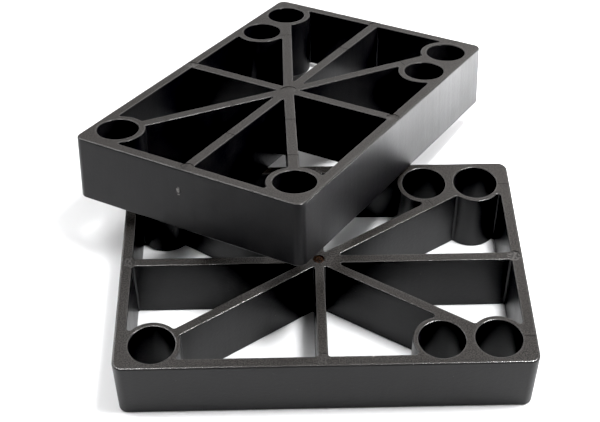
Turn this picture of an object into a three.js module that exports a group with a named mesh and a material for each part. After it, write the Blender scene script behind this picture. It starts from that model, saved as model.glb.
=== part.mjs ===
// Two ribbed wheel support blocks. The lower one lies flat, and the upper one leans on its back edge.
// Each block is a single open moulding: a rectangular wall, eight ribs that meet at a hub, and six
// round tubes, one in each corner and one more beside each corner tube at one end. Nothing closes
// the cells or the tubes, so every hole goes right through.
// Millimetres, +Z up. +X runs along the lower block to its paired tubes. The origin is the middle
// of the lower block's underside.

import * as THREE from "three";

// Driving dimensions of one block
const LENGTH = 200;
const WIDTH = 133.5;
const HEIGHT = 34;
const CORNER_RADIUS = 5; // upright outer corners
const WALL = 6;
const RIB = 5.3;
const HUB_X = -1.5; // the hub sits slightly towards the single-tube end
const BORE_RADIUS = 10.9;
const TUBE_WALL = 3;
const TUBE_FROM_END = 18.2; // tube centre to the short outer face
const TUBE_FROM_SIDE = 14.6; // tube centre to the long outer face
const PAIR_PITCH = 27; // between the two tubes of a pair
const APEX_RADIUS = 0.6; // cell corners at the hub
const CELL_RADIUS = 1.2; // the other cell corners

// Driving places of the upper block, on the slope through the lower block's top back edge
const UPPER_ALONG = -14.2; // its centre along that edge
const UPPER_OUT = 22.9; // its centre down the slope from that edge
const UPPER_YAW = THREE.MathUtils.degToRad(58.05);
const GAP = 0.3; // clearance between the two blocks

const ARC_TOLERANCE = 0.05; // most that a facet may cut into a true arc
const PLASTIC = { color: 0x1c1c1e, roughness: 0.48, metalness: 0 };

const TUBE_RADIUS = BORE_RADIUS + TUBE_WALL;
const TUBE_X = LENGTH / 2 - TUBE_FROM_END;
const TUBE_Y = WIDTH / 2 - TUBE_FROM_SIDE;
const RIGHT_ANGLE = Math.PI / 2;
const FULL_TURN = 2 * Math.PI;

// Points of an arc, both ends included. turn is 1 for anticlockwise and -1 for clockwise.
function arc(centre, radius, from, to, turn) {
  const sweep = THREE.MathUtils.euclideanModulo(turn * (to - from), FULL_TURN);
  const steps = Math.ceil(sweep / (2 * Math.acos(1 - ARC_TOLERANCE / radius)));
  const angles = Array.from({ length: steps + 1 }, (_, i) => from + (turn * sweep * i) / steps);
  return angles.map((a) => new THREE.Vector2(
    centre.x + radius * Math.cos(a),
    centre.y + radius * Math.sin(a),
  ));
}

// The wall's outer face, an upright-cornered rectangle
function outerOutline() {
  const corners = [[1, 1], [-1, 1], [-1, -1], [1, -1]];
  return corners.flatMap(([sideX, sideY], i) => {
    const centre = {
      x: sideX * (LENGTH / 2 - CORNER_RADIUS),
      y: sideY * (WIDTH / 2 - CORNER_RADIUS),
    };
    return arc(centre, CORNER_RADIUS, i * RIGHT_ANGLE, (i + 1) * RIGHT_ANGLE, 1);
  });
}

function boreOutline(centre) {
  const ring = arc(centre, BORE_RADIUS, 0, FULL_TURN - 1e-9, 1);
  return ring.slice(0, -1);
}

// A cell is bounded by straight edges and tube walls, listed anticlockwise. A straight edge is a
// point and a heading, with the cell on its left. A tube wall is a circle, with the cell outside it.
const edge = (x, y, heading) => ({ x, y, heading });
const tubeWall = ({ x, y }) => ({ x, y, radius: TUBE_RADIUS });

// One face of the rib between the hub and a point. side is 1 for the face on the left of the way
// from the hub to that point, and -1 for the one on its right, which is followed back to the hub.
function ribFace(point, side) {
  const heading = Math.atan2(point.y, point.x - HUB_X);
  return edge(
    HUB_X - (side * RIB * Math.sin(heading)) / 2,
    (side * RIB * Math.cos(heading)) / 2,
    side > 0 ? heading : heading + Math.PI,
  );
}

// The centre of the fillet that joins one boundary to the next
function filletCentre(first, second, radius) {
  const shift = ({ x, y, heading }) => ({
    x: x - radius * Math.sin(heading),
    y: y + radius * Math.cos(heading),
    along: { x: Math.cos(heading), y: Math.sin(heading) },
  });
  const line = shift(first.radius ? second : first);
  const at = (t) => ({ x: line.x + t * line.along.x, y: line.y + t * line.along.y });
  if (first.radius || second.radius) {
    const tube = first.radius ? first : second;
    const middle = (tube.x - line.x) * line.along.x + (tube.y - line.y) * line.along.y;
    const foot = at(middle);
    const half = Math.sqrt((tube.radius + radius) ** 2 - (foot.x - tube.x) ** 2 - (foot.y - tube.y) ** 2);
    return at(first.radius ? middle + half : middle - half);
  }
  const other = shift(second);
  const across = line.along.x * other.along.y - line.along.y * other.along.x;
  return at(((other.x - line.x) * other.along.y - (other.y - line.y) * other.along.x) / across);
}

function angleTo(centre, boundary) {
  if (boundary.radius) {
    return Math.atan2(boundary.y - centre.y, boundary.x - centre.x);
  }
  return boundary.heading - RIGHT_ANGLE;
}

// The last boundary of each cell meets the first at the hub.
function cellOutline(boundaries) {
  const last = boundaries.length - 1;
  const fillets = boundaries.map((boundary, i) => {
    const next = boundaries[i === last ? 0 : i + 1];
    const radius = i === last ? APEX_RADIUS : CELL_RADIUS;
    const centre = filletCentre(boundary, next, radius);
    return { centre, points: arc(centre, radius, angleTo(centre, boundary), angleTo(centre, next), 1) };
  });
  return boundaries.flatMap((boundary, i) => {
    if (!boundary.radius) {
      return fillets[i].points;
    }
    const from = angleTo(boundary, { ...fillets[i - 1].centre, radius: CELL_RADIUS });
    const to = angleTo(boundary, { ...fillets[i].centre, radius: CELL_RADIUS });
    const face = arc(boundary, boundary.radius, from, to, -1).slice(1, -1);
    return [...face, ...fillets[i].points];
  });
}

// The four cells on the -Y side, anticlockwise round the hub from the single-tube end
function cellsOnOneSide() {
  const singleTube = { x: -TUBE_X, y: -TUBE_Y };
  const outerTube = { x: TUBE_X, y: -TUBE_Y };
  const innerTube = { x: TUBE_X - PAIR_PITCH, y: -TUBE_Y };
  const endWallMiddle = LENGTH / 2 - WALL;
  const sideWallMiddle = { x: HUB_X, y: WALL - WIDTH / 2 };
  const sideWall = edge(sideWallMiddle.x, sideWallMiddle.y, 0);
  const singleEndWall = edge(-endWallMiddle, 0, -RIGHT_ANGLE);
  const pairedEndWall = edge(endWallMiddle, 0, RIGHT_ANGLE);
  return [
    [ribFace({ x: -endWallMiddle, y: 0 }, 1), singleEndWall, tubeWall(singleTube), ribFace(singleTube, -1)],
    [ribFace(singleTube, 1), tubeWall(singleTube), sideWall, ribFace(sideWallMiddle, -1)],
    [ribFace(sideWallMiddle, 1), sideWall, tubeWall(innerTube), ribFace(outerTube, -1)],
    [ribFace(outerTube, 1), tubeWall(outerTube), pairedEndWall, ribFace({ x: endWallMiddle, y: 0 }, -1)],
  ].map(cellOutline);
}

function blockShape() {
  const mirrored = (points) => points.map(({ x, y }) => new THREE.Vector2(x, -y)).reverse();
  const shape = new THREE.Shape(outerOutline());
  for (const outline of cellsOnOneSide()) {
    shape.holes.push(new THREE.Path(outline), new THREE.Path(mirrored(outline)));
  }
  for (const x of [-TUBE_X, TUBE_X - PAIR_PITCH, TUBE_X]) {
    for (const y of [-TUBE_Y, TUBE_Y]) {
      shape.holes.push(new THREE.Path(boreOutline({ x, y })));
    }
  }
  return shape;
}

function makeBlock(name) {
  const geometry = new THREE.ExtrudeGeometry(blockShape(), { depth: HEIGHT, bevelEnabled: false });
  const block = new THREE.Mesh(geometry, new THREE.MeshStandardMaterial(PLASTIC));
  block.name = name;
  return block;
}

// The slope is steep enough for the upper block's lowest corner to stand on the ground.
function makeSlope() {
  const reach = UPPER_OUT
    + (LENGTH / 2 - CORNER_RADIUS) * Math.sin(UPPER_YAW)
    + (WIDTH / 2 - CORNER_RADIUS) * Math.cos(UPPER_YAW)
    + CORNER_RADIUS;
  const slope = new THREE.Group();
  slope.position.set(0, WIDTH / 2, HEIGHT);
  slope.rotation.x = -Math.asin(HEIGHT / Math.hypot(reach, GAP)) - Math.atan2(GAP, reach);
  return slope;
}

const upperBlock = makeBlock("upper_block");
upperBlock.position.set(UPPER_ALONG, UPPER_OUT, GAP);
upperBlock.rotation.z = UPPER_YAW;

const slope = makeSlope();
slope.add(upperBlock);

const blocks = new THREE.Group();
blocks.add(makeBlock("lower_block"), slope);

export default blocks;
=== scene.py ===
"""Two ribbed black plastic support blocks, one lying flat and one leaning on its back edge.

Each block is one moulding, rebuilt here from the same outline as its CAD node with what the mould
gives it: draft, rounded rims, ejector-pin marks, insert lines and a broken gate. A few knocks and
a worn satin skin are added. Lengths are in metres.
"""

from math import asin, atan2, cos, hypot, pi, radians, sin, sqrt, tau
from types import SimpleNamespace

import bmesh
import bpy
from mathutils import Matrix, Vector, noise


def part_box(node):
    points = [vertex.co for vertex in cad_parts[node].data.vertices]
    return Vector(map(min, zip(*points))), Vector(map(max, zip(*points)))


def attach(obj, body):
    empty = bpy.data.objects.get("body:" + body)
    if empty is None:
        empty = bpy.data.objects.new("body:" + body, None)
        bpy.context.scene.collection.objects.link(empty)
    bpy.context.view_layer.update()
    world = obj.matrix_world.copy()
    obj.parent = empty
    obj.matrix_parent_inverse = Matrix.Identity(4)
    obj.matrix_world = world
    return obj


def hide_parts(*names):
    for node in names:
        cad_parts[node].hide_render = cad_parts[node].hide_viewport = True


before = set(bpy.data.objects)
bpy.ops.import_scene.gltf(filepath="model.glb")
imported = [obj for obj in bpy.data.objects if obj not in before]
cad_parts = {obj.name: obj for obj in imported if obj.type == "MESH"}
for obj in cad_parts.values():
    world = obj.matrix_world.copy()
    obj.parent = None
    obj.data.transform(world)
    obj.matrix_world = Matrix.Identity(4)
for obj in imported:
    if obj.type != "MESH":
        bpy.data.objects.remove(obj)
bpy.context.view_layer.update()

MM = 0.001
RIGHT_ANGLE = pi / 2

# One block, from the frame and the part's driving dimensions
low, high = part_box("lower_block")
LENGTH, WIDTH, HEIGHT = high - low
CORNER_RADIUS = 5 * MM
WALL = 6 * MM
RIB = 5.3 * MM
HUB_X = -1.5 * MM
BORE_RADIUS = 10.9 * MM
TUBE_WALL = 3 * MM
TUBE_FROM_END = 18.2 * MM
TUBE_FROM_SIDE = 14.6 * MM
PAIR_PITCH = 27 * MM
APEX_RADIUS = 0.6 * MM  # cell corners at the hub
CELL_RADIUS = 1.2 * MM  # the other cell corners
TUBE_RADIUS = BORE_RADIUS + TUBE_WALL
TUBE_X = LENGTH / 2 - TUBE_FROM_END
TUBE_Y = WIDTH / 2 - TUBE_FROM_SIDE

# The upper block's place on the slope through the lower block's top back edge
UPPER_ALONG = -14.2 * MM
UPPER_OUT = 22.9 * MM
UPPER_YAW = radians(58.05)
GAP = 0.3 * MM

# What the mould adds. The wide face is the one whose bores and outer edges are larger.
OUTER_DRAFT = 0.45 * MM  # the outer faces lean in by this much at the narrow face
CELL_DRAFT = 0.3 * MM
BORE_DRAFT = 0.6 * MM
BORE_UNDERSIZE = 0.1 * MM  # halfway up, a bore is this much inside the CAD's
OUTER_RIM = 0.8 * MM  # edge radii
CELL_RIM = 0.45 * MM
BORE_RIM = 0.5 * MM
RUB_FADE = 1.5  # a rim is rubbed beside the flat face, and no longer 1 / RUB_FADE of the way round
FLAT_MARGIN = 0.6 * MM  # the rub fades out over this much of the flat face
WALL_MARGIN = 0.3 * MM  # from a rim to the first level on the wall
WOBBLE = 0.05 * MM  # how far a moulded wall strays from flat
WOBBLE_SCALE = 28  # waves to the metre

# How finely the mesh follows arcs, straight stretches, rims, walls and round marks
CORNER_STEP = 0.6 * MM
BORE_STEP = 0.7 * MM
TUBE_STEP = 0.8 * MM
FILLET_STEP = 0.2 * MM
STRAIGHT_STEP = 4 * MM
RIM_STEPS = 5
WALL_LEVELS = 7
PIN_SEGMENTS = 40
GATE_SEGMENTS = 24
SHARP_ANGLE = radians(35)

# A face counts as flat in part once its normal is this upright, and wholly so a little further on.
FLAT_FROM = 0.7
FLAT_RANGE = 0.28

# Marks that the mould leaves
PIN_RADIUS = 3.4 * MM  # ejector pins, where the straight ribs meet the walls
PIN_FROM_EDGE = 4.4 * MM
HUB_PIN_RADIUS = 4.3 * MM
PIN_DEPTH = 0.28 * MM
LINE_WIDTH = 0.3 * MM  # joints between the mould's inserts
LINE_DEPTH = 0.22 * MM
RIB_LINE_LENGTH = RIB * 1.3
WALL_LINE_LENGTH = WALL * 1.1
DIAGONAL_LINE = 70 * MM  # from the hub, on each diagonal rib
SINGLE_DIAGONAL_LINE = 33 * MM  # from the hub, a second one on the ribs to the single tubes
SINGLE_END_LINE = 56 * MM  # from the hub, on the rib to the single-tube end
PAIRED_END_LINE = 60 * MM  # from the hub, on the rib to the paired-tube end
PAIRED_WALL_LINE = 51 * MM  # either side of the middle, on the paired-tube end wall
GATE_RADIUS = 2.6 * MM
GATE_STUB_RADIUS = 1.1 * MM
GATE_DEPTH = 0.4 * MM

# Knocks, each cut by a box: its middle, heading, size and tilt
FRONT = -WIDTH / 2
LOWER_NICKS = [
    # The front wall's outer and inner top edges
    ((-35 * MM, FRONT, HEIGHT), 0.3, (1.5 * MM, 0.9 * MM, 0.7 * MM), 0.7),
    ((22 * MM, FRONT + WALL, HEIGHT), -0.4, (0.9 * MM, 0.7 * MM, 0.5 * MM), 0.8),
    # The front right upright edge
    (
        (LENGTH / 2 - 1.5 * MM, FRONT + 1.5 * MM, 0.72 * HEIGHT),
        pi / 4, (1.1 * MM, 4 * MM, 0.3 * MM), 0.15,
    ),
]
UPPER_NICKS = [
    # A short ragged gouge in the end wall
    ((-LENGTH / 2, -3.6 * MM, 0.37 * HEIGHT), 0.2, (0.6 * MM, 1.5 * MM, 3.0 * MM), 0.35),
    ((-LENGTH / 2, -2.0 * MM, 0.34 * HEIGHT), -0.6, (1.6 * MM, 0.8 * MM, 2.8 * MM), -0.5),
]

# Where a knock left torn pale plastic, one place on each block. The pale patch there is lightened
# further as a painted highlight, for the broken facets catching the light.
LOWER_CHIP = Vector((22 * MM, FRONT + WALL, HEIGHT))
UPPER_CHIP = Vector((-LENGTH / 2, -3.2 * MM, 0.36 * HEIGHT))
CHIP_SQUEEZE = Vector((1, 1.3, 0.6))  # makes a chip narrow and tall

# Linear colours. A pair holds the darkest and the lightest that the noise gives.
WALL_TONES = (0.0045, 0.0045, 0.0052, 1), (0.0075, 0.0074, 0.0078, 1)
FLAT_TONES = (0.001, 0.0009, 0.0008, 1), (0.045, 0.041, 0.038, 1)
GATE_TONES = (0.003, 0.002, 0.002, 1), (0.07, 0.032, 0.016, 1)
RUBBED_TONE = (0.04, 0.038, 0.037, 1)
SCUFF_TONE = (0.08, 0.08, 0.08, 1)
DUST_TONE = (0.22, 0.21, 0.20, 1)
# Torn pale plastic, made lighter still as a painted highlight on the chip
TORN_AND_GLINT_TONE = (0.26, 0.25, 0.24, 1)
FLOOR_TONES = (0.86, 0.865, 0.88, 1), (0.89, 0.895, 0.905, 1)
ROOM_COLOUR = (1.0, 0.97, 0.95, 1)

# Gloss and relief: a soft base all over, with a clear coat on the flat faces and the rubbed rims
BASE_IOR = 1.3
COAT_IOR = 2.4
COAT_ROUGHNESS = 0.2
FLAT_COAT = 0.29
GRAIN_DEPTH = 0.16 * MM
BAND_DEPTH = 0.2 * MM
FLOOR_ROUGHNESS = 0.35

# The room: where its bright parts are, and how bright
SWEEP_AIM = (0.21, 0.84, 0.5)  # the white paper behind the blocks
FRONT_AIM = (0.2, -0.55, 0.81)  # a weak glow above the camera
ROOM_LEVEL = 0.06
SWEEP_LEVEL = 0.82
SIDE_LEVEL = 0.5
FRONT_LEVEL = 0.13
FLOOR_HALF = 4
FLOOR_DROP = 0.1 * MM  # keeps the floor off the blocks' undersides

# The camera
CAMERA_PLACE = Vector((-0.01823, -0.45149, 0.53444))
CAMERA_AIM = Vector((-0.00975, 0.06647, 0.0))
CAMERA_ROLL = radians(0.36)
CAMERA_LENS = 81.36
CAMERA_SENSOR = 36
CAMERA_CLIP = 0.01
BLACK_POINT = 0.008


# ---------------------------------------------------------------- outlines

def arc(centre, radius, start, end, turn, step):
    """(point, open side) pairs along an arc, both ends included.

    turn is 1 for anticlockwise and -1 for clockwise. The open side points away from the centre.
    """
    sweep = (turn * (end - start)) % tau
    steps = max(2, round(sweep * radius / step))
    found = []
    for i in range(steps + 1):
        angle = start + turn * sweep * i / steps
        out = Vector((cos(angle), sin(angle)))
        found.append((centre + radius * out, out))
    return found


def flipped(pairs):
    """The same points with the open side on the other side."""
    return [(point, -out) for point, out in pairs]


def with_straights(pairs):
    """Closes a loop of arcs, and adds points along its straight stretches."""
    full = []
    for (here, out), (there, _) in zip(pairs, pairs[1:] + pairs[:1]):
        full.append((here, out))
        pieces = int((there - here).length / STRAIGHT_STEP)
        for i in range(1, pieces):
            full.append((here.lerp(there, i / pieces), out))
    return full


def outer_loop():
    pairs = []
    for i, (side_x, side_y) in enumerate(((1, 1), (-1, 1), (-1, -1), (1, -1))):
        x = side_x * (LENGTH / 2 - CORNER_RADIUS)
        y = side_y * (WIDTH / 2 - CORNER_RADIUS)
        start, end = i * RIGHT_ANGLE, (i + 1) * RIGHT_ANGLE
        pairs += arc(Vector((x, y)), CORNER_RADIUS, start, end, 1, CORNER_STEP)
    return with_straights(pairs)


def bore_loop(x, y):
    return flipped(arc(Vector((x, y)), BORE_RADIUS, 0, tau - 1e-9, 1, BORE_STEP)[:-1])


class Edge:
    """A straight side of a cell: a point and a heading, with the cell on the left."""

    def __init__(self, x, y, heading):
        self.at = Vector((x, y))
        self.along = Vector((cos(heading), sin(heading)))
        self.left = Vector((-sin(heading), cos(heading)))
        self.heading = heading

    def angle_from(self, centre):
        return self.heading - RIGHT_ANGLE


class Tube:
    """A tube wall that the cell stays outside of."""

    def __init__(self, x, y):
        self.at = Vector((x, y))

    def angle_from(self, centre):
        return atan2(self.at.y - centre.y, self.at.x - centre.x)


def rib_face(x, y, side):
    """A face of the rib from the hub to (x, y): 1 is its left face, -1 its right, followed back."""
    heading = atan2(y, x - HUB_X)
    return Edge(
        HUB_X - side * RIB * sin(heading) / 2,
        side * RIB * cos(heading) / 2,
        heading if side > 0 else heading + pi,
    )


def fillet_centre(first, second, radius):
    """The centre of the fillet that joins one side of a cell to the next."""
    if isinstance(first, Edge) and isinstance(second, Edge):
        a, b = (e.at + radius * e.left for e in (first, second))
        t = (b - a).cross(second.along) / first.along.cross(second.along)
        return a + t * first.along
    edge, tube = (second, first) if isinstance(first, Tube) else (first, second)
    start = edge.at + radius * edge.left
    middle = (tube.at - start).dot(edge.along)
    aside = (start + middle * edge.along - tube.at).length
    half = sqrt((TUBE_RADIUS + radius) ** 2 - aside ** 2)
    return start + (middle + half if edge is second else middle - half) * edge.along


def cell_loop(sides):
    """The loop of a cell whose sides run anticlockwise, from the hub and back to it."""
    radii = [CELL_RADIUS] * (len(sides) - 1) + [APEX_RADIUS]
    nexts = sides[1:] + sides[:1]
    centres = [fillet_centre(a, b, r) for a, b, r in zip(sides, nexts, radii)]
    pairs = []
    for i, (side, after) in enumerate(zip(sides, nexts)):
        if isinstance(side, Tube):
            start, end = (
                atan2(c.y - side.at.y, c.x - side.at.x) for c in (centres[i - 1], centres[i])
            )
            pairs += arc(side.at, TUBE_RADIUS, start, end, -1, TUBE_STEP)[1:-1]
        start, end = side.angle_from(centres[i]), after.angle_from(centres[i])
        pairs += flipped(arc(centres[i], radii[i], start, end, 1, FILLET_STEP))
    return with_straights(pairs)


def cell_loops():
    """The four cells on the -Y side, then their mirror images."""
    end_x = LENGTH / 2 - WALL
    side_y = WALL - WIDTH / 2
    single, outer = (-TUBE_X, -TUBE_Y), (TUBE_X, -TUBE_Y)
    inner = (TUBE_X - PAIR_PITCH, -TUBE_Y)
    side_wall = Edge(HUB_X, side_y, 0)
    single_end_wall = Edge(-end_x, 0, -RIGHT_ANGLE)
    paired_end_wall = Edge(end_x, 0, RIGHT_ANGLE)
    cells = [
        [rib_face(-end_x, 0, 1), single_end_wall, Tube(*single), rib_face(*single, -1)],
        [rib_face(*single, 1), Tube(*single), side_wall, rib_face(HUB_X, side_y, -1)],
        [rib_face(HUB_X, side_y, 1), side_wall, Tube(*inner), rib_face(*outer, -1)],
        [rib_face(*outer, 1), Tube(*outer), paired_end_wall, rib_face(end_x, 0, -1)],
    ]
    loops = [cell_loop(sides) for sides in cells]
    mirror = Vector((1, -1))
    return loops + [[(p * mirror, out * mirror) for p, out in reversed(loop)] for loop in loops]


# ---------------------------------------------------------------- one moulding

def profile(rim, inset_low, inset_high):
    """(height, inset, worn) levels from the narrow face, round its rim, up the wall and back in.

    An inset is how far the surface lies back from the outline, into the plastic.
    """
    quarter = [i / RIM_STEPS * RIGHT_ANGLE for i in range(RIM_STEPS + 1)]
    low_rim = [
        (rim * (1 - cos(a)), rim * (1 - sin(a)), max(0, cos(RUB_FADE * a))) for a in quarter
    ]
    high_rim = [(HEIGHT - z, inset, worn) for z, inset, worn in reversed(low_rim)]
    bottom, top = rim + WALL_MARGIN, HEIGHT - rim - WALL_MARGIN
    wall = [bottom + (top - bottom) * i / WALL_LEVELS for i in range(WALL_LEVELS + 1)]
    levels = [
        (0, rim + FLAT_MARGIN, 0), *low_rim, *((z, 0, 0) for z in wall), *high_rim,
        (HEIGHT, rim + FLAT_MARGIN, 0),
    ]
    drafted = []
    for z, inset, worn in levels:
        share = z / HEIGHT
        drafted.append((z, inset + inset_low * (1 - share) + inset_high * share, worn))
    return drafted


def add_wall(bm, loop, levels, worn_layer, wobble_seed):
    """Builds the wall along one loop, and returns its edges on the two flat faces."""
    rings = []
    for z, inset, worn in levels:
        ring = []
        for point, out in loop:
            stray = noise.noise(Vector((point.x, point.y, wobble_seed)) * WOBBLE_SCALE)
            at = point - out * (inset + WOBBLE * (0.5 + 0.5 * stray))
            vert = bm.verts.new((at.x, at.y, z))
            vert[worn_layer] = worn
            ring.append(vert)
        rings.append(ring)
    for below, above in zip(rings, rings[1:]):
        for i in range(len(loop)):
            j = (i + 1) % len(loop)
            bm.faces.new((below[i], below[j], above[j], above[i]))
    flat_edges = []
    for ring in (rings[0], rings[-1]):
        flat_edges.append([bm.edges.get((a, b)) for a, b in zip(ring, ring[1:] + ring[:1])])
    return flat_edges


def moulding_mesh(seed):
    """One block on its narrow face, with its wide face up."""
    bm = bmesh.new()
    worn_layer = bm.verts.layers.float.new("worn")
    tube_xs = (-TUBE_X, TUBE_X - PAIR_PITCH, TUBE_X)
    bores = [bore_loop(x, y) for x in tube_xs for y in (-TUBE_Y, TUBE_Y)]
    outer_profile = profile(OUTER_RIM, OUTER_DRAFT, 0)
    cell_profile = profile(CELL_RIM, -CELL_DRAFT / 2, CELL_DRAFT / 2)
    bore_profile = profile(
        BORE_RIM, -BORE_DRAFT / 2 - BORE_UNDERSIZE, BORE_DRAFT / 2 - BORE_UNDERSIZE
    )
    walls = [(outer_loop(), outer_profile)]
    walls += [(loop, cell_profile) for loop in cell_loops()]
    walls += [(loop, bore_profile) for loop in bores]
    under, top = [], []
    for loop, levels in walls:
        low_edges, high_edges = add_wall(bm, loop, levels, worn_layer, seed)
        under += low_edges
        top += high_edges
    bmesh.ops.triangle_fill(bm, use_beauty=True, edges=under, normal=(0, 0, -1))
    bmesh.ops.triangle_fill(bm, use_beauty=True, edges=top, normal=(0, 0, 1))
    bmesh.ops.recalc_face_normals(bm, faces=bm.faces)
    mesh = bpy.data.meshes.new("moulding")
    bm.to_mesh(mesh)
    bm.free()
    return mesh


def lathe(bm, centre, profile_points, steps):
    """Adds a ring of the closed (radius, height) outline around a vertical axis."""
    rings = []
    for i in range(steps):
        angle = tau * i / steps
        rings.append([
            bm.verts.new(centre + Vector((r * cos(angle), r * sin(angle), z)))
            for r, z in profile_points
        ])
    count = len(profile_points)
    for ring, after in zip(rings, rings[1:] + rings[:1]):
        for i in range(count):
            j = (i + 1) % count
            bm.faces.new((ring[i], after[i], after[j], ring[j]))


def add_pin_mark(bm, x, y, face, radius):
    """A round plug through one flat face, as deep as the mark that it leaves."""
    bmesh.ops.create_cone(
        bm, cap_ends=True, segments=PIN_SEGMENTS, radius1=radius, radius2=radius,
        depth=2 * PIN_DEPTH, matrix=Matrix.Translation((x, y, face)),
    )


def add_bar(bm, middle, heading, size, tilt=0.0):
    """A box of the given size, turned to the heading and then tilted about its own length."""
    turn = Matrix.Rotation(heading, 4, "Z") @ Matrix.Rotation(tilt, 4, "X")
    place = Matrix.Translation(middle) @ turn @ Matrix.Diagonal((*size, 1))
    bmesh.ops.create_cube(bm, size=1, matrix=place)


def add_insert_line(bm, rib_end, along, face):
    """A thin groove straight across the rib from the hub to rib_end, at a distance from the hub."""
    heading = atan2(rib_end[1], rib_end[0] - HUB_X)
    middle = Vector((HUB_X + along * cos(heading), along * sin(heading), face))
    add_bar(bm, middle, heading, (LINE_WIDTH, RIB_LINE_LENGTH, 2 * LINE_DEPTH))


def moulding_marks():
    """What is cut from a block as it leaves the mould, on both flat faces."""
    bm = bmesh.new()
    end_x, side_y = LENGTH / 2 - PIN_FROM_EDGE, WIDTH / 2 - PIN_FROM_EDGE
    corners = [(x, y) for x in (-TUBE_X, TUBE_X) for y in (-TUBE_Y, TUBE_Y)]
    for face in (0, HEIGHT):
        for x, y in ((end_x, 0), (-end_x, 0), (HUB_X, side_y), (HUB_X, -side_y)):
            add_pin_mark(bm, x, y, face, PIN_RADIUS)
        for corner in corners:
            add_insert_line(bm, corner, DIAGONAL_LINE, face)
            if corner[0] < 0:
                add_insert_line(bm, corner, SINGLE_DIAGONAL_LINE, face)
        add_insert_line(bm, (-LENGTH / 2, 0), SINGLE_END_LINE, face)
        add_insert_line(bm, (LENGTH / 2, 0), PAIRED_END_LINE, face)
        for side in (-1, 1):
            middle = Vector((LENGTH / 2 - WALL / 2, side * PAIRED_WALL_LINE, face))
            add_bar(bm, middle, 0, (WALL_LINE_LENGTH, LINE_WIDTH, 2 * LINE_DEPTH))
    add_pin_mark(bm, HUB_X, 0, 0, HUB_PIN_RADIUS)
    ring = [
        (GATE_STUB_RADIUS, HEIGHT - GATE_DEPTH), (GATE_RADIUS, HEIGHT - GATE_DEPTH),
        (GATE_RADIUS, HEIGHT + GATE_DEPTH), (GATE_STUB_RADIUS, HEIGHT + GATE_DEPTH),
    ]
    lathe(bm, Vector((HUB_X, 0, 0)), ring, GATE_SEGMENTS)
    return bm


def cut(mesh, cutter):
    """The mesh with the cutter's solids taken out of it."""
    block = bpy.data.objects.new("whole", mesh)
    cutter_mesh = bpy.data.meshes.new("cutter")
    bmesh.ops.recalc_face_normals(cutter, faces=cutter.faces)
    cutter.to_mesh(cutter_mesh)
    cutter.free()
    tool = bpy.data.objects.new("cutter", cutter_mesh)
    for item in (block, tool):
        bpy.context.scene.collection.objects.link(item)
    difference = block.modifiers.new("cut", "BOOLEAN")
    difference.operation = "DIFFERENCE"
    difference.solver = "EXACT"
    difference.object = tool
    graph = bpy.context.evaluated_depsgraph_get()
    result = bpy.data.meshes.new_from_object(
        block.evaluated_get(graph), preserve_all_data_layers=True, depsgraph=graph
    )
    for item in (block, tool):
        bpy.data.objects.remove(item)
    return result


def record_block_coordinates(mesh):
    """Keeps what the material needs to know once the block is laid in place.

    That is where a point is in the block, in millimetres, and which faces lie flat.
    """
    flat = mesh.attributes.new("flat", "FLOAT", "FACE")
    for polygon in mesh.polygons:
        upright = (abs(polygon.normal.z) - FLAT_FROM) / FLAT_RANGE
        flat.data[polygon.index].value = min(1, max(0, upright))
    cast = mesh.attributes.new("cast", "FLOAT_VECTOR", "POINT")
    for vertex in mesh.vertices:
        cast.data[vertex.index].vector = vertex.co / MM


def make_block(name, node, body, place, seed, nicks, chip_at):
    """One moulding, laid in place, that stands in for a CAD node and rides on its body."""
    cutter = moulding_marks()
    for nick in nicks:
        add_bar(cutter, *nick)
    mesh = cut(moulding_mesh(seed), cutter)
    record_block_coordinates(mesh)
    mesh.transform(place)
    block = bpy.data.objects.new(name, mesh)
    bpy.context.scene.collection.objects.link(block)
    for polygon in mesh.polygons:
        polygon.use_smooth = True
    mesh.set_sharp_from_angle(angle=SHARP_ANGLE)
    shade = block.modifiers.new("shade", "WEIGHTED_NORMAL")
    shade.keep_sharp = True
    shade.weight = 100
    mesh.materials.append(plastic(name + "_plastic", seed, chip_at))
    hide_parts(node)
    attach(block, body)


def upper_place():
    """Carries a block from flat, wide face up, to turned over and leaning on the slope."""
    reach = (
        UPPER_OUT
        + (LENGTH / 2 - CORNER_RADIUS) * sin(UPPER_YAW)
        + (WIDTH / 2 - CORNER_RADIUS) * cos(UPPER_YAW)
        + CORNER_RADIUS
    )
    lean = asin(HEIGHT / hypot(reach, GAP)) + atan2(GAP, reach)
    turned_over = Matrix.Translation((0, 0, HEIGHT)) @ Matrix.Rotation(pi, 4, "X")
    yaw = Matrix.Rotation(UPPER_YAW, 4, "Z")
    on_slope = Matrix.Translation((UPPER_ALONG, UPPER_OUT, GAP)) @ yaw
    slope = Matrix.Translation((0, WIDTH / 2, HEIGHT)) @ Matrix.Rotation(-lean, 4, "X")
    return slope @ on_slope @ turned_over


# ---------------------------------------------------------------- materials

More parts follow.
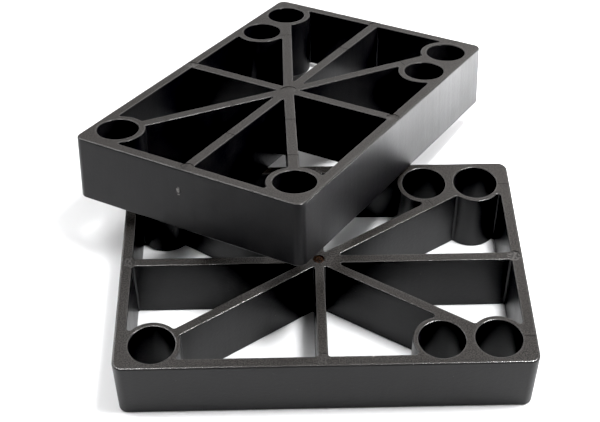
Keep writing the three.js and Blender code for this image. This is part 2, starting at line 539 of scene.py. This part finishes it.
class Nodes:
    """Short calls for building a node tree."""

    def __init__(self, tree):
        self.tree = tree

    def add(self, kind, inputs=(), **settings):
        node = self.tree.nodes.new("ShaderNode" + kind)
        for key, value in settings.items():
            setattr(node, key, value)
        for key, value in dict(inputs).items():
            self.feed(node.inputs[key], value)
        return node

    def feed(self, socket, value):
        if isinstance(value, bpy.types.NodeSocket):
            self.tree.links.new(value, socket)
        else:
            socket.default_value = value

    def math(self, operation, a, b=0.0, clamp=False):
        return self.add("Math", {0: a, 1: b}, operation=operation, use_clamp=clamp).outputs[0]

    def times(self, a, b):
        return self.math("MULTIPLY", a, b)

    def plus(self, a, b, clamp=False):
        return self.math("ADD", a, b, clamp)

    def minus(self, a, b):
        return self.math("SUBTRACT", a, b)

    def vector_math(self, operation, a, b, output="Value"):
        return self.add("VectorMath", {0: a, 1: b}, operation=operation).outputs[output]

    def ramp(self, value, low, high, to_low=0.0, to_high=1.0):
        """Runs smoothly from to_low, at low, to to_high, at high."""
        inputs = {
            "Value": value, "From Min": low, "From Max": high, "To Min": to_low, "To Max": to_high,
        }
        return self.add("MapRange", inputs, interpolation_type="SMOOTHSTEP").outputs[0]

    def attribute(self, name, output="Fac"):
        return self.add("Attribute", attribute_name=name).outputs[output]

    def mapping(self, vector, **inputs):
        return self.add("Mapping", {"Vector": vector, **inputs}).outputs[0]

    def noise(self, vector, scale, detail, rough):
        inputs = {"Vector": vector, "Scale": scale, "Detail": detail, "Roughness": rough}
        return self.add("TexNoise", inputs).outputs[0]

    def mix(self, share, a, b):
        node = self.add("Mix", data_type="RGBA")
        for socket, value in zip((node.inputs[0], node.inputs[6], node.inputs[7]), (share, a, b)):
            self.feed(socket, value)
        return node.outputs[2]

    def bump(self, height, **inputs):
        return self.add("Bump", {"Height": height, **inputs}).outputs[0]


def new_material(name):
    material = bpy.data.materials.new(name)
    material.use_nodes = True
    return material, Nodes(material.node_tree), material.node_tree.nodes["Principled BSDF"]


def plastic_patterns(nodes, seed, chip_at):
    """The noises and masks that the plastic's skin is made from, in block millimetres."""
    cast = nodes.attribute("cast", "Vector")
    flat = nodes.attribute("flat")
    worn = nodes.attribute("worn")
    place = nodes.mapping(cast, Location=(seed * 31, seed * 17, 0))  # another patch for each seed
    drawn = nodes.mapping(place, Scale=(1.0, 1.0, 0.03))  # stretched up the walls
    bands = nodes.noise(drawn, scale=0.11, detail=2, rough=0.55)
    hairs = nodes.noise(drawn, scale=0.9, detail=2, rough=0.6)
    clouds = nodes.noise(place, scale=0.035, detail=3, rough=0.55)
    patches = nodes.noise(place, scale=0.16, detail=3, rough=0.6)
    grain = nodes.noise(place, scale=1.5, detail=2, rough=0.6)
    pebble = nodes.noise(place, scale=0.6, detail=2, rough=0.5)

    # Scuffs follow the middle line of a stretched noise, in patches.
    scuff_place = nodes.mapping(place, Scale=(0.5, 1.6, 1.0), Rotation=(0, 0, 0.6))
    scuff_path = nodes.noise(scuff_place, scale=0.13, detail=2, rough=0.4)
    off_path = nodes.math("ABSOLUTE", nodes.minus(scuff_path, 0.5))
    scuffs = nodes.times(nodes.ramp(off_path, 0.0016, 0.0), nodes.ramp(patches, 0.5, 0.62))

    # Dust specks sit in the middle of a few cells of a Voronoi pattern.
    cells = nodes.add("TexVoronoi", {"Vector": place, "Scale": 0.3}, feature="F1")
    chosen = nodes.add("SeparateColor", {0: cells.outputs["Color"]}).outputs[0]
    near = nodes.ramp(cells.outputs["Distance"], 0.07, 0.03)
    specks = nodes.times(near, nodes.math("GREATER_THAN", chosen, 0.88))

    # The gate and the chip are spots whose outlines noise makes uneven.
    hub = nodes.vector_math("DISTANCE", cast, (HUB_X / MM, 0, HEIGHT / MM))
    gate = nodes.ramp(nodes.plus(hub, nodes.times(pebble, 1.4)), 3.9, 2.9)
    squeezed = nodes.vector_math("MULTIPLY", cast, CHIP_SQUEEZE, "Vector")
    chip = nodes.vector_math("DISTANCE", squeezed, chip_at / MM * CHIP_SQUEEZE)
    # The pale chip patch: torn plastic, and a painted highlight where its facets would catch the
    # light
    torn_and_glint = nodes.ramp(nodes.plus(chip, nodes.times(grain, 4.0)), 3.3, 2.7)
    rubbed = nodes.times(worn, nodes.ramp(grain, 0.36, 0.54))
    return SimpleNamespace(
        flat=flat, bands=bands, hairs=hairs, clouds=clouds, grain=grain, pebble=pebble,
        scuffs=scuffs, specks=specks, gate=gate, torn_and_glint=torn_and_glint, rubbed=rubbed,
    )


def plastic_colour(nodes, skin):
    """The walls' near black, covered in turn by what lies over it."""
    tone = nodes.mix(nodes.ramp(skin.clouds, 0.35, 0.65), *WALL_TONES)
    grained = nodes.mix(nodes.ramp(skin.grain, 0.42, 0.58), *FLAT_TONES)
    burnt = nodes.mix(nodes.ramp(skin.grain, 0.45, 0.6), *GATE_TONES)
    layers = [
        (skin.flat, 0.75, grained),
        (skin.rubbed, 0.5, RUBBED_TONE),
        (skin.scuffs, 0.3, SCUFF_TONE),
        (skin.specks, 0.4, DUST_TONE),
        (skin.gate, 0.9, burnt),
        # The chip: torn pale plastic with a painted highlight over it
        (skin.torn_and_glint, 0.8, TORN_AND_GLINT_TONE),
    ]
    for mask, cover, colour in layers:
        tone = nodes.mix(nodes.times(mask, cover), tone, colour)
    return tone


def plastic_roughness(nodes, skin):
    rough = nodes.ramp(skin.clouds, 0.3, 0.7, to_low=0.33, to_high=0.4)
    rough = nodes.plus(rough, nodes.times(nodes.minus(skin.bands, 0.5), 0.1))
    rough = nodes.plus(rough, nodes.times(skin.scuffs, 0.15))
    return nodes.plus(rough, nodes.times(skin.gate, 0.2), clamp=True)


def plastic_normal(nodes, skin):
    """Fine grain, deeper on the flat faces and at the gate, then soft bands up the walls."""
    depth = nodes.plus(nodes.times(skin.flat, 0.75), 0.25)
    relief = nodes.times(skin.grain, depth)
    relief = nodes.plus(relief, nodes.times(skin.pebble, 0.5))
    relief = nodes.plus(relief, nodes.times(nodes.times(skin.gate, skin.pebble), 6.0))
    fine = nodes.bump(relief, Strength=0.6, Distance=GRAIN_DEPTH)
    drawn_relief = nodes.plus(nodes.times(skin.bands, 2.2), nodes.times(skin.hairs, 0.06))
    on_walls = nodes.times(drawn_relief, nodes.minus(1.0, skin.flat))
    return nodes.bump(on_walls, Strength=0.3, Distance=BAND_DEPTH, Normal=fine)


def plastic(name, seed, chip_at):
    """Satin black moulded plastic with scuffs, dust, rubbed rims, a burnt gate and a pale chip
    whose paleness is partly a painted highlight.
    """
    material, nodes, shader = new_material(name)
    skin = plastic_patterns(nodes, seed, chip_at)
    coat = nodes.math("MAXIMUM", skin.rubbed, nodes.times(skin.flat, FLAT_COAT))
    normal = plastic_normal(nodes, skin)
    nodes.feed(shader.inputs["Base Color"], plastic_colour(nodes, skin))
    nodes.feed(shader.inputs["Roughness"], plastic_roughness(nodes, skin))
    nodes.feed(shader.inputs["IOR"], BASE_IOR)
    nodes.feed(shader.inputs["Coat Weight"], nodes.times(coat, nodes.minus(1.0, skin.gate)))
    nodes.feed(shader.inputs["Coat Roughness"], COAT_ROUGHNESS)
    nodes.feed(shader.inputs["Coat IOR"], COAT_IOR)
    nodes.feed(shader.inputs["Normal"], normal)
    nodes.feed(shader.inputs["Coat Normal"], normal)
    return material


def floor_material():
    """A pale matt sheet with a faint sheen."""
    material, nodes, shader = new_material("pale_floor")
    coords = nodes.add("TexCoord").outputs["Object"]
    mottle = nodes.noise(coords, scale=3, detail=2, rough=0.5)
    nodes.feed(shader.inputs["Base Color"], nodes.mix(mottle, *FLOOR_TONES))
    nodes.feed(shader.inputs["Roughness"], FLOOR_ROUGHNESS)
    return material


# ---------------------------------------------------------------- studio

def make_floor():
    mesh = bpy.data.meshes.new("floor")
    half = FLOOR_HALF
    corners = [(-half, -half, 0), (half, -half, 0), (half, half, 0), (-half, half, 0)]
    mesh.from_pydata(corners, [], [(0, 1, 2, 3)])
    floor = bpy.data.objects.new("floor", mesh)
    floor.location.z = -FLOOR_DROP
    bpy.context.scene.collection.objects.link(floor)
    mesh.materials.append(floor_material())


def make_light(name, place, aim, size, power, spread=pi, fills=True, glints=True):
    """A rectangular softbox, aimed at a point, with its power in watts.

    One that doesn't fill only shows in gloss, and one that doesn't glint only lights surfaces.
    """
    lamp = bpy.data.lights.new(name, "AREA")
    lamp.spread = spread
    lamp.shape = "RECTANGLE"
    lamp.size, lamp.size_y = size
    lamp.energy = power
    holder = bpy.data.objects.new(name, lamp)
    holder.visible_diffuse = fills
    holder.visible_glossy = glints
    holder.location = place
    holder.rotation_euler = (Vector(aim) - Vector(place)).to_track_quat("-Z", "Y").to_euler()
    bpy.context.scene.collection.objects.link(holder)


def make_lights():
    # From the right and nearly overhead. In gloss they would turn the flat faces white.
    make_light("right_softbox", (0.7, 0.16, 0.48), (0.1, 0.1, 0), (0.5, 0.4), 8, glints=False)
    make_light("key_softbox", (0.17, -0.04, 0.75), (0.05, 0.0, 0), (0.18, 0.12), 7.2, glints=False)

    # From the back left
    make_light("left_softbox", (-0.75, 0.4, 0.7), (-0.1, 0.05, 0), (0.8, 0.8), 4)

    # The glints on the rims
    make_light("rim_softbox", (0.34, -0.1, 0.7), (0.05, 0.0, 0), (0.16, 0.22), 6.5, fills=False)

    # Pools of light on the floor beside the blocks
    make_light(
        "right_floor_softbox", (0.38, 0.14, 0.6), (0.36, 0.14, 0), (0.2, 0.3), 5.5,
        spread=radians(36), glints=False,
    )
    make_light(
        "left_floor_softbox", (-0.34, 0.0, 0.6), (-0.32, 0.0, 0), (0.24, 0.4), 0.5,
        spread=radians(50),
    )


def make_world():
    """A dim room: white paper behind the blocks, paler walls to the sides, a weak glow in front."""
    world = bpy.data.worlds.new("studio")
    bpy.context.scene.world = world
    world.use_nodes = True
    nodes = Nodes(world.node_tree)
    direction = nodes.add("TexCoord").outputs["Generated"]
    behind = nodes.vector_math("DOT_PRODUCT", direction, SWEEP_AIM)
    in_front = nodes.vector_math("DOT_PRODUCT", direction, FRONT_AIM)
    aside = nodes.math("ABSOLUTE", nodes.add("SeparateXYZ", {0: direction}).outputs[0])
    strength = nodes.ramp(behind, 0.84, 0.97, ROOM_LEVEL, SWEEP_LEVEL)
    strength = nodes.plus(strength, nodes.ramp(aside, 0.45, 0.95, 0.0, SIDE_LEVEL))
    strength = nodes.plus(strength, nodes.ramp(in_front, 0.3, 0.95, 0.0, FRONT_LEVEL))
    background = world.node_tree.nodes["Background"]
    nodes.feed(background.inputs["Color"], ROOM_COLOUR)
    nodes.feed(background.inputs["Strength"], strength)


def make_camera():
    camera = bpy.data.cameras.new("camera")
    camera.lens = CAMERA_LENS
    camera.sensor_width = CAMERA_SENSOR
    camera.clip_start = CAMERA_CLIP
    holder = bpy.data.objects.new("camera", camera)
    holder.location = CAMERA_PLACE
    look = (CAMERA_AIM - CAMERA_PLACE).to_track_quat("-Z", "Y")
    holder.rotation_mode = "QUATERNION"
    holder.rotation_quaternion = look @ Matrix.Rotation(-CAMERA_ROLL, 3, "Z").to_quaternion()
    bpy.context.scene.collection.objects.link(holder)
    bpy.context.scene.camera = holder


def make_camera_look():
    """Plain contrast, with the black point raised a little so that deep shade is black."""
    look = bpy.context.scene.view_settings
    look.view_transform = "Standard"
    look.use_curve_mapping = True
    look.curve_mapping.black_level = (BLACK_POINT, BLACK_POINT, BLACK_POINT)
    look.curve_mapping.update()


make_camera()
make_world()
make_floor()
make_lights()
make_block(
    "lower_moulding", "lower_block", "lower", Matrix.Identity(4),
    seed=1.3, nicks=LOWER_NICKS, chip_at=LOWER_CHIP,
)
make_block(
    "upper_moulding", "upper_block", "upper", upper_place(),
    seed=7.9, nicks=UPPER_NICKS, chip_at=UPPER_CHIP,
)
make_camera_look()
